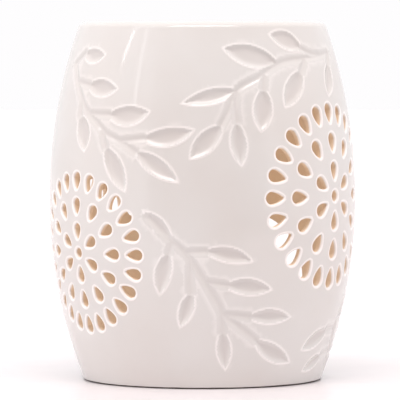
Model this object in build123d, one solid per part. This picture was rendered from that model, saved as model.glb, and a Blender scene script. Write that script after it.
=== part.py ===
from build123d import *
import math
import os

# Essential oil burner: a glazed ceramic barrel with three pierced flowers, sprays of pressed leaves and
# an arched door behind, a drop-in dish for the oil under the rim, and a tealight on the floor.
# Millimetres. +Z is up, the origin is the middle of the foot, and the door faces +Y.
# An azimuth is in degrees from -Y, the pierced front, towards +X.

# Barrel outline, as radii and heights
height = 120.0
belly_radius = 51.3
belly_height = 61.0
foot_radius = 39.7
shoulder_radius = 40.9
wall = 2.3

# Foot and floor
foot_ring_width = 3.6
foot_ring_height = 1.8
foot_edge_round = 1.0
floor_height = 6.0
floor_corner_round = 4.0

# Rim, and the step in it that carries the dish
rim_wall = 4.6
rim_outer_round = 3.4
rim_inner_round = 0.9
seat_depth = 3.4
seat_width = 3.8
seat_thickness = 2.2
seat_underside_round = 1.0

# Arched door behind, level with the floor
door_half_width = 23.5
door_spring_height = 30.3

# Pierced flower: a round hole and three rings of teardrops that point at the middle
flower_eye_diameter = 3.6
drop_counts = (6, 12, 24)
drop_ring_radii = (8.1, 17.5, 27.1)
drop_lengths = (6.2, 6.5, 6.8)
drop_widths = (3.9, 4.1, 4.2)
drop_shoulder_angle = 99.0

# The three flowers: azimuth, height of the middle, size against the full flower, and extra width
right_flower_azimuth = 75.9
right_flower_height = 62.6
right_flower_share = 1.0
right_flower_width_share = 1.018
left_flower_azimuth = -36.6
left_flower_height = 44.0
left_flower_share = 0.87
left_flower_width_share = 1.05
rear_flower_azimuth = -133.1
rear_flower_height = 83.0
rear_flower_share = 1.0
rear_flower_width_share = 1.0

# Leaves pressed into the wall with a stamp: a full leaf's length and half width, and how deep it goes
leaf_length = 15.0
leaf_half_width = 2.5
leaf_depth = 0.8

# Each leaf: the azimuth of its middle, its height as a share of the barrel's, the turn of its tip
# anticlockwise from level, and its length, left side and right side as shares of a full leaf's.
upper_right_leaf_shares = (
    (38.5, 0.906, 165, 1.23, 1.36, 1.28),
    (57.0, 0.944, 159, 0.86, 0.88, 1.28),
    (21.0, 0.796, 193, 1.17, 0.80, 0.92),
    (19.0, 0.675, 226, 0.93, 1.04, 1.16),
    (31.0, 0.671, 276, 0.88, 0.88, 0.96),
    (41.0, 0.762, 263, 0.89, 1.28, 1.12),
    (57.0, 0.817, 232, 0.95, 1.04, 1.32),
    (81.0, 0.842, 246, 0.75, 0.96, 0.96),
)
upper_left_leaf_shares = (
    (-36.0, 0.910, 357, 0.72, 0.64, 1.12),
    (-27.0, 0.821, 355, 0.85, 0.88, 1.16),
    (-12.5, 0.750, 4, 0.97, 0.84, 1.44),
    (4.0, 0.694, 9, 1.09, 0.72, 1.36),
    (0.0, 0.608, 327, 1.10, 1.08, 0.84),
    (-17.0, 0.602, 301, 1.05, 1.24, 0.96),
    (-35.0, 0.696, 289, 0.78, 1.44, 0.88),
)
lower_leaf_shares = (
    (1.0, 0.448, 135, 0.80, 0.56, 0.88),
    (27.0, 0.367, 348, 0.99, 1.04, 0.64),
    (35.0, 0.281, 354, 1.00, 1.04, 0.84),
    (45.0, 0.198, 358, 0.96, 0.92, 0.76),
    (49.0, 0.102, 331, 1.08, 0.76, 1.16),
    (3.0, 0.321, 255, 0.90, 0.76, 1.12),
    (11.0, 0.223, 251, 0.76, 0.84, 0.72),
    (26.5, 0.110, 277, 0.81, 0.76, 0.76),
)
side_leaf_shares = (
    (74.0, 0.127, 205, 0.92, 0.88, 1.04),
    (77.0, 0.060, 207, 0.69, 0.64, 0.80),
    (106.5, 0.163, 337, 0.87, 1.00, 0.80),
    (115.0, 0.242, 343, 0.94, 1.00, 0.80),
    (125.0, 0.325, 352, 0.94, 1.00, 0.84),
    (106.0, 0.069, 341, 0.74, 0.80, 0.72),
    (121.5, 0.521, 109, 0.92, 0.88, 1.04),
    (134.0, 0.454, 26, 1.06, 0.92, 0.92),
)
# Two of these sprays again round the back: one turned, and one mirrored about -Y and turned
upper_repeat_turn = 106.0
lower_repeat_turn = -75.0

# Dish
dish_wall = 2.6
dish_flange_thickness = 2.4
dish_depth = 15.0
dish_bottom_radius = 13.0
dish_side_clearance = 0.5
dish_edge_round = 0.8

# Tealight in its aluminium cup
cup_radius = 18.7
cup_base_radius = 18.0
cup_height = 15.0
cup_wall = 0.3
cup_lip_width = 0.6
cup_lip_height = 0.6
wax_height = 12.0
wax_clearance = 0.05
wick_radius = 0.75
wick_above_wax = 5.0
sustainer_radius = 8.0
sustainer_thickness = 0.3
sustainer_neck_radius = 1.7
sustainer_neck_height = 3.2
sustainer_clearance = 0.1

# How far a cutter runs past what it cuts
overrun = 3.0

seat_height = height - seat_depth
rim_inner_radius = shoulder_radius - rim_wall
seat_inner_radius = rim_inner_radius - seat_width
flowers = (
    (right_flower_azimuth, right_flower_height, right_flower_share, right_flower_width_share),
    (left_flower_azimuth, left_flower_height, left_flower_share, left_flower_width_share),
    (rear_flower_azimuth, rear_flower_height, rear_flower_share, rear_flower_width_share),
)


def arc_radius(end_radius, rise):
    """Radius of the arc that leaves the belly upright and reaches end_radius after rise."""
    draw_in = belly_radius - end_radius
    return (rise ** 2 + draw_in ** 2) / (2 * draw_in)


lower_arc = arc_radius(foot_radius, belly_height)
upper_arc = arc_radius(shoulder_radius, height - belly_height)


def outline_radius(z, inset=0.0):
    """Radius of the barrel at height z, for a surface that lies inset under the outside."""
    rho = lower_arc if z < belly_height else upper_arc
    return belly_radius - rho + math.sqrt((rho - inset) ** 2 - (z - belly_height) ** 2)


def outline_arc(z_start, z_end, inset=0.0):
    """The stretch of the barrel's outline between two heights, which stay on one side of the belly."""
    heights = (z_start, (z_start + z_end) / 2, z_end)
    return ThreePointArc(*[(outline_radius(z, inset), z) for z in heights])


def profile_face(edges, rounds):
    """A face in the XZ plane from edges in x and z, with its corners rounded: (x, z, radius)."""
    face = make_face(edges)
    for x, z, radius in rounds:
        corner = face.vertices().sort_by_distance((x, z, 0))[0]
        face = fillet(corner, radius)
    return Plane.XZ * face


def turned(edges, rounds=()):
    """The solid of revolution of a profile about Z."""
    return revolve(profile_face(edges, rounds), Axis.Z)


def barrel_blank():
    """The barrel before anything is pierced: wall, floor, foot ring, rim and dish seat.

    Its seam is turned to +Y, the middle of the door, away from the flowers.
    """
    seam_turn = 90
    foot_inner_radius = foot_radius - foot_ring_width
    seat_underside = seat_height - seat_thickness
    rim_path = Polyline(
        (shoulder_radius, height),
        (rim_inner_radius, height),
        (rim_inner_radius, seat_height),
        (seat_inner_radius, seat_height),
        (seat_inner_radius, seat_underside),
        (outline_radius(seat_underside, wall), seat_underside),
    )
    floor_radius = outline_radius(floor_height, wall)
    floor_path = Polyline(
        (floor_radius, floor_height),
        (0, floor_height),
        (0, foot_ring_height),
        (foot_inner_radius, foot_ring_height),
        (foot_inner_radius, 0),
        (foot_radius, 0),
    )
    edges = [
        outline_arc(0, belly_height),
        outline_arc(belly_height, height),
        rim_path,
        outline_arc(seat_underside, belly_height, wall),
        outline_arc(belly_height, floor_height, wall),
        floor_path,
    ]
    rounds = [
        (shoulder_radius, height, rim_outer_round),
        (rim_inner_radius, height, rim_inner_round),
        (outline_radius(seat_underside, wall), seat_underside, seat_underside_round),
        (floor_radius, floor_height, floor_corner_round),
        (foot_radius, 0, foot_edge_round),
        (foot_inner_radius, 0, foot_edge_round / 2),
    ]
    return Rot(0, 0, seam_turn) * turned(edges, rounds)


def surface_frame(azimuth, z):
    """Point of the outside at an azimuth and height, with its sideways, upward and outward directions."""
    turn = math.radians(azimuth)
    rho = lower_arc if z < belly_height else upper_arc
    tilt = math.asin((z - belly_height) / rho)
    radial = Vector(math.sin(turn), -math.cos(turn), 0)
    upright = Vector(0, 0, 1)
    point = radial * outline_radius(z) + upright * z
    sideways = Vector(math.cos(turn), math.sin(turn), 0)
    outward = radial * math.cos(tilt) + upright * math.sin(tilt)
    upward = upright * math.cos(tilt) - radial * math.sin(tilt)
    return point, sideways, upward, outward


def drop_outline(length, width):
    """A teardrop about the origin: its round end towards +X, its point towards -X."""
    end_radius = width / 2
    end_x = length / 2 - end_radius
    shoulder = math.radians(drop_shoulder_angle)
    upper = Vector(end_x + end_radius * math.cos(shoulder), end_radius * math.sin(shoulder))
    lower = Vector(upper.X, -upper.Y)
    point = Vector(-length / 2, 0)
    leaving = Vector(-math.sin(shoulder), math.cos(shoulder))
    edges = [
        ThreePointArc(lower, (length / 2, 0), upper),
        TangentArc(upper, point, tangent=leaving),
        TangentArc(lower, point, tangent=(leaving.X, -leaving.Y)),
    ]
    return make_face(edges)


def pierce(outline, azimuth, z, lean):
    """A cutter for one hole, square to the wall; lean turns the outline from straight up, clockwise."""
    point, sideways, upward, outward = surface_frame(azimuth, z)
    turn = math.radians(lean)
    along = sideways * math.sin(turn) + upward * math.cos(turn)
    inner_end = point - outward * (wall + overrun)
    plane = Plane(origin=inner_end, x_dir=along, z_dir=outward)
    return extrude(plane * outline, amount=wall + 2 * overrun)


def flower_cutters(azimuth, z, share, width_share):
    """Cutters for one pierced flower; the rings are laid out on the wall as unrolled at the belly."""
    cutters = [pierce(Circle(share * flower_eye_diameter / 2), azimuth, z, 0)]
    for count, ring_radius, length, width in zip(drop_counts, drop_ring_radii, drop_lengths, drop_widths):
        drop = drop_outline(share * length, share * width)
        for i in range(count):
            lean = 360 * i / count
            across = width_share * share * ring_radius * math.sin(math.radians(lean))
            up = share * ring_radius * math.cos(math.radians(lean))
            hole_azimuth = azimuth + math.degrees(across / belly_radius)
            cutters.append(pierce(drop, hole_azimuth, z + up, lean))
    return cutters


def mirrored(leaf_shares):
    """The same leaves seen in a mirror that stands in the plane X = 0."""
    return [(-azimuth, z, 180 - turn, length, right, left) for azimuth, z, turn, length, left, right in leaf_shares]


def leaf_outline(length, left, right):
    """A leaf about the origin, its tip towards +X: an arc for each side, and the two meet in points."""
    base = (-length / 2, 0)
    tip = (length / 2, 0)
    return make_face([ThreePointArc(base, (0, left), tip), ThreePointArc(base, (0, -right), tip)])


def leaf_stamps():
    """Cutters for the pressed leaves. Each goes square into the wall and stops at the depth of the leaves."""
    top = outline_radius(height, leaf_depth)
    bottom = outline_radius(0, leaf_depth)
    core = turned([
        outline_arc(0, belly_height, leaf_depth),
        outline_arc(belly_height, height, leaf_depth),
        Polyline((top, height), (0, height), (0, 0), (bottom, 0)),
    ])
    sprays = [
        (upper_right_leaf_shares, 0),
        (upper_left_leaf_shares, 0),
        (lower_leaf_shares, 0),
        (side_leaf_shares, 0),
        (upper_right_leaf_shares, upper_repeat_turn),
        (mirrored(lower_leaf_shares), lower_repeat_turn),
    ]
    stamps = []
    for leaf_shares, spray_turn in sprays:
        for azimuth, height_share, turn, length_share, left_share, right_share in leaf_shares:
            sides = (left_share * leaf_half_width, right_share * leaf_half_width)
            leaf = leaf_outline(length_share * leaf_length, *sides)
            stamps.append(pierce(leaf, azimuth + spray_turn, height_share * height, 90 - turn) - core)
    return stamps


def door_cutter():
    """The arched doorway, from the middle of the barrel out through its +Y side."""
    arch = Pos(0, door_spring_height) * Circle(door_half_width)
    straight_height = door_spring_height - floor_height
    straight = Pos(0, floor_height + straight_height / 2) * Rectangle(2 * door_half_width, straight_height)
    outline = arch + straight
    return extrude(Plane.XZ * outline, amount=-(belly_radius + overrun))


def burner_body():
    """The ceramic barrel with its door, its three pierced flowers and its sprays of pressed leaves."""
    cutters = [door_cutter()]
    for flower in flowers:
        cutters += flower_cutters(*flower)
    return barrel_blank() - cutters - leaf_stamps()


def oil_dish():
    """The dish: a flange that lies on the seat, and a round bowl that hangs through it."""
    flange_radius = rim_inner_radius - dish_side_clearance
    neck_radius = seat_inner_radius - dish_side_clearance
    flange_top = seat_height + dish_flange_thickness
    bottom = flange_top - dish_depth
    outside_bottom = bottom - dish_wall
    bowl_radius = neck_radius - dish_wall
    level = (1, 0)
    inner_side = TangentArc((dish_bottom_radius, bottom), (bowl_radius, flange_top), tangent=level)
    outer_side = TangentArc((dish_bottom_radius, outside_bottom), (neck_radius, seat_height), tangent=level)
    edges = [
        Polyline((0, bottom), (dish_bottom_radius, bottom)),
        inner_side,
        Polyline(
            (bowl_radius, flange_top),
            (flange_radius, flange_top),
            (flange_radius, seat_height),
            (neck_radius, seat_height),
        ),
        outer_side,
        Polyline((dish_bottom_radius, outside_bottom), (0, outside_bottom), (0, bottom)),
    ]
    rounds = [
        (bowl_radius, flange_top, dish_edge_round),
        (flange_radius, flange_top, dish_edge_round),
        (flange_radius, seat_height, dish_edge_round / 2),
    ]
    return turned(edges, rounds)


def tealight_cup():
    """The thin aluminium cup, a little wider at its lip, which is rolled outwards."""
    top = floor_height + cup_height
    lip_base = top - cup_lip_height
    lip_radius = cup_radius + cup_lip_width
    outside = Polyline(
        (0, floor_height),
        (cup_base_radius, floor_height),
        (cup_radius, lip_base),
        (lip_radius, lip_base),
        (lip_radius, top),
        (cup_radius - cup_wall, top),
        (cup_base_radius - cup_wall, floor_height + cup_wall),
        (0, floor_height + cup_wall),
        (0, floor_height),
    )
    return turned([outside])


def cup_inner_radius(rise):
    """Inside radius of the cup at a rise above its floor."""
    share = rise / (cup_height - cup_wall)
    return cup_base_radius - cup_wall + share * (cup_radius - cup_base_radius)


def tealight_wax():
    """The wax, hollow where the wick and its holder stand."""
    base = floor_height + cup_wall
    blank = turned([
        Polyline(
            (0, base),
            (cup_inner_radius(0) - wax_clearance, base),
            (cup_inner_radius(wax_height) - wax_clearance, base + wax_height),
            (0, base + wax_height),
            (0, base),
        )
    ])
    disc_room = sustainer_thickness + sustainer_clearance
    neck_room = sustainer_neck_height + sustainer_clearance
    low = (Align.CENTER, Align.CENTER, Align.MIN)
    seat = Pos(0, 0, base) * Cylinder(sustainer_radius + sustainer_clearance, disc_room, align=low)
    neck = Pos(0, 0, base) * Cylinder(sustainer_neck_radius + sustainer_clearance, neck_room, align=low)
    bore = Pos(0, 0, base) * Cylinder(wick_radius + wax_clearance, wax_height + overrun, align=low)
    return blank - [seat, neck, bore]


def wick_sustainer():
    """The small steel foot that holds the wick upright: a disc with a crimped neck."""
    base = floor_height + cup_wall
    bore = wick_radius + wax_clearance
    return turned([
        Polyline(
            (bore, base),
            (sustainer_radius, base),
            (sustainer_radius, base + sustainer_thickness),
            (sustainer_neck_radius, base + sustainer_thickness),
            (sustainer_neck_radius, base + sustainer_neck_height),
            (bore, base + sustainer_neck_height),
            (bore, base),
        )
    ])


def wick():
    """The cotton wick, from the cup's floor to a little above the wax."""
    base = floor_height + cup_wall
    length = wax_height + wick_above_wax
    return Pos(0, 0, base) * Cylinder(wick_radius, length, align=(Align.CENTER, Align.CENTER, Align.MIN))


nodes = {
    "burner_body": burner_body,
    "oil_dish": oil_dish,
    "tealight_cup": tealight_cup,
    "tealight_wax": tealight_wax,
    "wick_sustainer": wick_sustainer,
    "wick": wick,
}

os.makedirs("parts", exist_ok=True)
for name, build in nodes.items():
    solid = build()
    solid.label = name
    export_step(solid, f"parts/{name}.step")
    size = solid.bounding_box().size
    print(f"{name}: {len(solid.solids())} solid, {size.X:.1f} x {size.Y:.1f} x {size.Z:.1f} mm")
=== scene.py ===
# %% [markdown]
# # A ceramic oil burner with pierced flowers
#
# The real burner is cast from liquid clay in a mould, pierced by hand while it is still soft, pressed
# with leaf stamps, and dipped in a thick white glaze that rounds every edge it covers. Inside, and in
# the cut walls of the holes, the tan clay stays bare.
#
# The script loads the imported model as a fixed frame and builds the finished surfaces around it.
# It follows how the pot is made: turn the outline, pierce it, press the leaves, then glaze it.
# Lengths are in metres. An azimuth is measured from -Y, the pierced front, towards +X.

# %% Load the frame
import math

import bpy
import numpy as np
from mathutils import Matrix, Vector, geometry


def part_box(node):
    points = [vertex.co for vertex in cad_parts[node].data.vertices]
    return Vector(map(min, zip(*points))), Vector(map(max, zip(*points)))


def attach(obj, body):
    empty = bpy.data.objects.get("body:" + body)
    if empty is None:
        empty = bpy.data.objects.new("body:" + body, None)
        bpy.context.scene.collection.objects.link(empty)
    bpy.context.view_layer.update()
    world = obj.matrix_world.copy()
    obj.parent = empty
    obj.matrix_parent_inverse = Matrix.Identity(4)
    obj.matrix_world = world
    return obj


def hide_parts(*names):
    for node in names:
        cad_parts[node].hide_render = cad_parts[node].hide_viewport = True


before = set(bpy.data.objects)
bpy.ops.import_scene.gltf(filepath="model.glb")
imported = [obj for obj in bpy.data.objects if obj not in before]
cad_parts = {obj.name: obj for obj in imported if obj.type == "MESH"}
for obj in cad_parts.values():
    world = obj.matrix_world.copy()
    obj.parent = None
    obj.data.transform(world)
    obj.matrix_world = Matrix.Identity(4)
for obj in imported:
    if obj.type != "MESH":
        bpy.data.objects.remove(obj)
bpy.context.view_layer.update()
MM = 0.001
DEG = math.pi / 180
print("frame nodes:", sorted(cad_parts))

# %% [markdown]
# ## The barrel's outline
#
# The side of the barrel is two arcs that meet upright at the belly. A turned shape could be drawn as a
# curve and spun, but every later step needs the outline as a formula: the holes, the leaves and the
# inner wall are all placed by asking it for a radius and a direction. So it is a function of height.

# %% The outline as a formula
body_low, body_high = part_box("burner_body")
height = body_high[2]
belly_radius = (body_high[0] - body_low[0]) / 2
belly_height = 61.0 * MM
foot_radius = 39.7 * MM
shoulder_radius = 40.9 * MM
wall = 2.3 * MM
girth = 2 * math.pi * belly_radius


def arc_radius(end_radius, rise):
    """Radius of the arc that leaves the belly upright: (rise squared + draw-in squared) / 2 draw-in."""
    draw_in = belly_radius - end_radius
    return (rise ** 2 + draw_in ** 2) / (2 * draw_in)


lower_arc = arc_radius(foot_radius, belly_height)
upper_arc = arc_radius(shoulder_radius, height - belly_height)


def joined(*parts):
    """Arrays and numbers set side by side, as the coordinates of points."""
    return np.stack(np.broadcast_arrays(*parts), axis=-1)


def on_circle(radius, turn, z):
    """Points at a radius and a height, turned from -Y towards +X."""
    return joined(radius * np.sin(turn), -radius * np.cos(turn), z)


def outline(z):
    """Radius of the outside at height z, and the sine and cosine of its tilt from upright."""
    rho = np.where(z < belly_height, lower_arc, upper_arc)
    sine = (z - belly_height) / rho
    cosine = np.sqrt(1 - sine ** 2)
    return belly_radius - rho * (1 - cosine), sine, cosine


def wall_point(s, z, depth):
    """The point depth in from the outside, at height z and at arc s, which is counted at the belly."""
    radius, sine, cosine = outline(z)
    return on_circle(radius - depth * cosine, s / belly_radius, z - depth * sine)


print(f"barrel {height / MM:.1f} high, belly {belly_radius / MM:.1f}")
print(f"arcs {lower_arc / MM:.0f} and {upper_arc / MM:.0f}")

# %% [markdown]
# ## The pierced flowers
#
# Each flower is a round eye and three rings of teardrops, 43 holes in all, cut with small metal
# punches. A teardrop is a round end and two arcs to a point. The punch leaves a soft tip, so the
# outline is sampled finely, blurred a little along its length, and resampled into equal steps.

# %% Teardrops and the flowers' layout
eye_diameter = 3.6 * MM
drop_counts = (6, 12, 24)
drop_ring_radii = (8.1 * MM, 17.5 * MM, 27.1 * MM)
drop_lengths = (6.2 * MM, 6.5 * MM, 6.8 * MM)
drop_widths = (3.9 * MM, 4.1 * MM, 4.2 * MM)
drop_shoulder_angle = 99 * DEG
tip_blur = 0.3 * MM
round_end_steps, side_arc_steps, blur_steps = 120, 80, 600
drop_steps = 30
eye_steps = 20

# azimuth, height of the middle, size against the full flower, and extra width
flowers = (
    (75.9, 62.6 * MM, 1.0, 1.018),
    (-36.6, 44.0 * MM, 0.87, 1.05),
    (-133.1, 83.0 * MM, 1.0, 1.0),
)


def resample(loop, count):
    """The closed loop of points, walked in count equal steps."""
    closed = np.vstack([loop, loop[:1]])
    walked = np.concatenate([[0], np.cumsum(np.linalg.norm(np.diff(closed, axis=0), axis=1))])
    at = np.linspace(0, walked[-1], count, endpoint=False)
    return np.stack([np.interp(at, walked, closed[:, i]) for i in (0, 1)], axis=-1)


def blur_loop(loop, spread):
    """The closed loop with its corners softened: each point becomes a Gaussian mean of its neighbours."""
    step = np.linalg.norm(loop[1] - loop[0])
    reach = int(3 * spread / step) + 1
    offsets = np.arange(-reach, reach + 1)
    weights = np.exp(-0.5 * (offsets * step / spread) ** 2)
    weights /= weights.sum()
    return sum(w * np.roll(loop, k, axis=0) for w, k in zip(weights, offsets))


def unit(turn):
    """Points on a circle of radius 1, anticlockwise from +x."""
    return joined(np.cos(turn), np.sin(turn))


def drop_loop(length, width):
    """A teardrop with its round end at +x: the end is an arc, and each side is an arc to the tip.

    The side's arc leaves the round end along its tangent, so its centre lies on the line through the
    round end's centre, at the distance that makes it equally far from the tip.
    """
    end_radius = width / 2
    centre = np.array([length / 2 - end_radius, 0])
    tip = np.array([-length / 2, 0])
    out = unit(drop_shoulder_angle)
    shoulder = centre + end_radius * out
    chord = shoulder - tip
    side_radius = chord @ chord / (2 * (chord @ out))
    side_centre = shoulder - side_radius * out
    turn = np.linspace(-drop_shoulder_angle, drop_shoulder_angle, round_end_steps)
    round_end = centre + end_radius * unit(turn)
    first = math.atan2(out[1], out[0])
    last = math.atan2(*(tip - side_centre)[::-1]) % (2 * math.pi)
    side = side_centre + side_radius * unit(np.linspace(first, last, side_arc_steps)[1:])
    fine = resample(np.vstack([round_end, side, side[-2::-1] * (1, -1)]), blur_steps)
    return resample(blur_loop(fine, tip_blur), drop_steps)


def circle_loop(diameter):
    """A circle, anticlockwise."""
    return diameter / 2 * unit(np.linspace(0, 2 * math.pi, eye_steps, endpoint=False))


def loop_normals(loop):
    """Outward normals of an anticlockwise loop, from the chord between each point's neighbours."""
    along = np.roll(loop, -1, axis=0) - np.roll(loop, 1, axis=0)
    out = joined(along[:, 1], -along[:, 0])
    return out / np.linalg.norm(out, axis=1, keepdims=True)


def flower_holes():
    """Every hole as (loop, normals, arc, height, lean): its flat outline and its place."""
    holes = []
    for azimuth, middle, share, width_share in flowers:
        s0 = azimuth * DEG * belly_radius
        loop = circle_loop(share * eye_diameter)
        holes.append((loop, loop_normals(loop), s0, middle, 0.0))
        for count, ring, length, width in zip(drop_counts, drop_ring_radii, drop_lengths, drop_widths):
            loop = drop_loop(share * length, share * width)
            for lean in np.arange(count) * 2 * math.pi / count:
                s = s0 + width_share * share * ring * math.sin(lean)
                z = middle + share * ring * math.cos(lean)
                holes.append((loop, loop_normals(loop), s, z, lean))
    return holes


def hole_on_wall(hole, offset, depth=0.0):
    """A hole's outline grown by offset, laid on the wall at a depth: arc and height of each point.

    The arc is counted at the belly, so a length across grows by belly radius over the radius there.
    """
    loop, normals, s0, z0, lean = hole
    grown = loop + offset * normals
    across = grown[:, 0] * math.sin(lean) - grown[:, 1] * math.cos(lean)
    up = grown[:, 0] * math.cos(lean) + grown[:, 1] * math.sin(lean)
    radius, _, cosine = outline(np.array(z0))
    return s0 + across * belly_radius / (radius - depth * cosine), z0 + up * cosine


holes = flower_holes()
print(f"{len(holes)} holes in {len(flowers)} flowers")

# %% [markdown]
# ## The pressed leaves
#
# A leaf stamp pushed into soft clay leaves a shallow pocket, pointed at both ends, with sloping
# sides and a faint ridge of pushed-up clay around it. A bump map could fake it, but the pockets show
# in the outline and catch real highlights, so they are pressed into the mesh. A leaf is where two
# discs overlap, because the distance to its edge is then a formula.

# %% Where the leaves and stems are
leaf_length = 15.0 * MM
leaf_half_width = 2.5 * MM
leaf_depth = 0.8 * MM
leaf_slope = 0.8 * MM
leaf_soft = 0.25 * MM
leaf_rim = 0.15 * MM
ridge_height = 0.1 * MM
ridge_width = 0.4 * MM
stem_depth = 0.45 * MM
stem_half_width = 1.0 * MM
stem_ridge_share = 0.4
leaf_ridge_out = 1.3 * ridge_width
stem_ridge_out = 2.2 * stem_half_width
wave_depth = 0.014 * MM
press_reach = 2.4 * MM
hole_margin = 0.6 * MM
hole_fade = 1.2 * MM
far_away = 9 * MM

# a leaf: the azimuth of its middle, its height as a share of the barrel's, the turn of its tip
# anticlockwise from level, and its length, left side and right side as shares of a full leaf's
upper_right_leaves = (
    (38.5, 0.906, 165, 1.23, 1.36, 1.28), (57.0, 0.944, 159, 0.86, 0.88, 1.28),
    (21.0, 0.796, 193, 1.17, 0.80, 0.92), (19.0, 0.675, 226, 0.93, 1.04, 1.16),
    (31.0, 0.671, 276, 0.88, 0.88, 0.96), (41.0, 0.762, 263, 0.89, 1.28, 1.12),
    (57.0, 0.817, 232, 0.95, 1.04, 1.32), (81.0, 0.842, 246, 0.75, 0.96, 0.96),
)
upper_left_leaves = (
    (-36.0, 0.910, 357, 0.72, 0.64, 1.12), (-27.0, 0.821, 355, 0.85, 0.88, 1.16),
    (-12.5, 0.750, 4, 0.97, 0.84, 1.44), (4.0, 0.694, 9, 1.09, 0.72, 1.36),
    (0.0, 0.608, 327, 1.10, 1.08, 0.84), (-17.0, 0.602, 301, 1.05, 1.24, 0.96),
    (-35.0, 0.696, 289, 0.78, 1.44, 0.88),
)
lower_leaves = (
    (1.0, 0.448, 135, 0.80, 0.56, 0.88), (27.0, 0.367, 348, 0.99, 1.04, 0.64),
    (35.0, 0.281, 354, 1.00, 1.04, 0.84), (45.0, 0.198, 358, 0.96, 0.92, 0.76),
    (49.0, 0.102, 331, 1.08, 0.76, 1.16), (3.0, 0.321, 255, 0.90, 0.76, 1.12),
    (11.0, 0.223, 251, 0.76, 0.84, 0.72), (26.5, 0.110, 277, 0.81, 0.76, 0.76),
)
side_leaves = (
    (74.0, 0.127, 205, 0.92, 0.88, 1.04), (77.0, 0.060, 207, 0.69, 0.64, 0.80),
    (106.5, 0.163, 337, 0.87, 1.00, 0.80), (115.0, 0.242, 343, 0.94, 1.00, 0.80),
    (125.0, 0.325, 352, 0.94, 1.00, 0.84), (106.0, 0.069, 341, 0.74, 0.80, 0.72),
    (121.5, 0.521, 109, 0.92, 0.88, 1.04), (134.0, 0.454, 26, 1.06, 0.92, 0.92),
)
# a stem: azimuth and height of the points that its curve passes through
upper_right_stems = (
    ((86, 109.5), (68, 108), (52, 106.5), (40, 101.5), (31, 97.5), (27, 90.5), (24.5, 86.5)),
    ((31, 97.5), (30, 92.5), (30.5, 87.5)), ((43, 103), (42, 98)), ((66, 107.8), (62, 103.5)),
    ((77, 109), (71, 109.3), (65, 111)), ((86, 109.5), (83.5, 106)),
)
upper_left_stems = (
    ((-44, 100), (-35, 91.5), (-28, 87.5), (-22, 83.5), (-15, 81), (-8, 77.5)),
    ((-32, 89.8), (-21, 89.5)), ((-15, 81), (-5, 82)), ((-24, 84.5), (-21.5, 79)), ((-38, 94), (-37.5, 89)),
    ((-44, 100), (-34.5, 99)), ((-50, 106), (-44, 100)), ((-50, 106), (-43, 109.5)),
)
lower_stems = (
    ((-3, 56.5), (5, 49.5), (11, 45), (18, 36), (22.5, 29.5), (25, 25), (25.5, 19)),
    ((11, 45.3), (18.5, 45.5)), ((18, 35.7), (26.5, 34.5)), ((25, 25), (36, 24)),
    ((25, 25), (31.5, 21), (40, 16)), ((13, 42), (12.7, 36), (13, 32)), ((6, 48.5), (5, 45)),
)
side_stems = (
    ((97, 4), (93, 12), (92, 18), (96, 26), (104, 33), (113, 40), (120, 48), (124, 56)),
    ((92, 18), (82, 18)), ((93.5, 11), (83.5, 9.5)), ((93, 21), (99, 22)), ((99, 29), (107, 31)),
    ((110, 38), (117, 40)), ((94, 9), (99, 10)), ((120, 48), (126, 51)),
)
hand_placed = upper_right_leaves + upper_left_leaves + lower_leaves + side_leaves
print("leaves placed by hand:", len(hand_placed))

# %% [markdown]
# ## Sprays around the back
#
# The photograph shows only the front. The same stamps are used all the way round, so the back repeats
# the front's sprays, turned or mirrored, where they miss the door and the rear flower.

# %% Repeat the sprays
upper_repeat_turn = 106.0
lower_repeat_turn = -75.0


def turned_leaves(leaf_set, shift):
    """The same leaves, turned about the barrel by shift degrees."""
    return tuple((shift + azimuth, *rest) for azimuth, *rest in leaf_set)


def mirrored_leaves(leaf_set):
    """The same leaves in a mirror: azimuths change sign, tips point the other way, sides swap."""
    return tuple(
        (-azimuth, share, 180 - turn, length, right, left)
        for azimuth, share, turn, length, left, right in leaf_set
    )


def moved_stems(stem_set, shift, way=1):
    """Stems turned by shift degrees, after a mirror where way is -1."""
    return tuple(tuple((shift + way * azimuth, z) for azimuth, z in stem) for stem in stem_set)


leaves = hand_placed + turned_leaves(upper_right_leaves, upper_repeat_turn)
leaves += turned_leaves(mirrored_leaves(lower_leaves), lower_repeat_turn)
stems = upper_right_stems + upper_left_stems + lower_stems + side_stems
stems += moved_stems(upper_right_stems, upper_repeat_turn)
stems += moved_stems(lower_stems, lower_repeat_turn, -1)
print(f"{len(leaves)} leaves and {len(stems)} stems")

# %% [markdown]
# ## The relief as a height field
#
# How deep the clay is pressed in is a function of the place on the unrolled wall. Leaves and stems are
# joined as the fourth root of the sum of their fourth powers, which lets one groove flow into another.
# The pressing fades beside the pierced holes, because the stamps were kept clear of them.

# %% Distances on the wall


def around(s):
    """An arc brought within half a girth of zero, so that distances work across the seam."""
    return (s + girth / 2) % girth - girth / 2


def flat_about(s, z, s0, z0):
    """Flat lengths from a point: arcs shrink with the radius, and heights grow with the tilt."""
    radius, _, cosine = outline(np.asarray(z0, float))
    return around(s - s0) * radius / belly_radius, (z - z0) / cosine


def smoothstep(x):
    """0 to 1 with level ends: 3x squared - 2x cubed."""
    x = np.clip(x, 0, 1)
    return x * x * (3 - 2 * x)


def leaf_distance(s, z, leaf):
    """Distance to a leaf's edge, negative inside: the larger of the distances to its two side arcs.

    A side that bulges b over half a length h is an arc of radius (h squared + b squared) / 2b.
    """
    azimuth, share, turn, length, left, right = leaf
    x, y = flat_about(s, z, azimuth * DEG * belly_radius, share * height)
    across, up = unit(turn * DEG)
    a = x * across + y * up
    b = y * across - x * up
    half = length * leaf_length / 2
    sides = []
    for bulge, way in ((left * leaf_half_width, 1), (right * leaf_half_width, -1)):
        radius = (half ** 2 + bulge ** 2) / (2 * bulge)
        sides.append(np.hypot(a, way * b - (bulge - radius)) - radius)
    return np.maximum(*sides)


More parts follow.
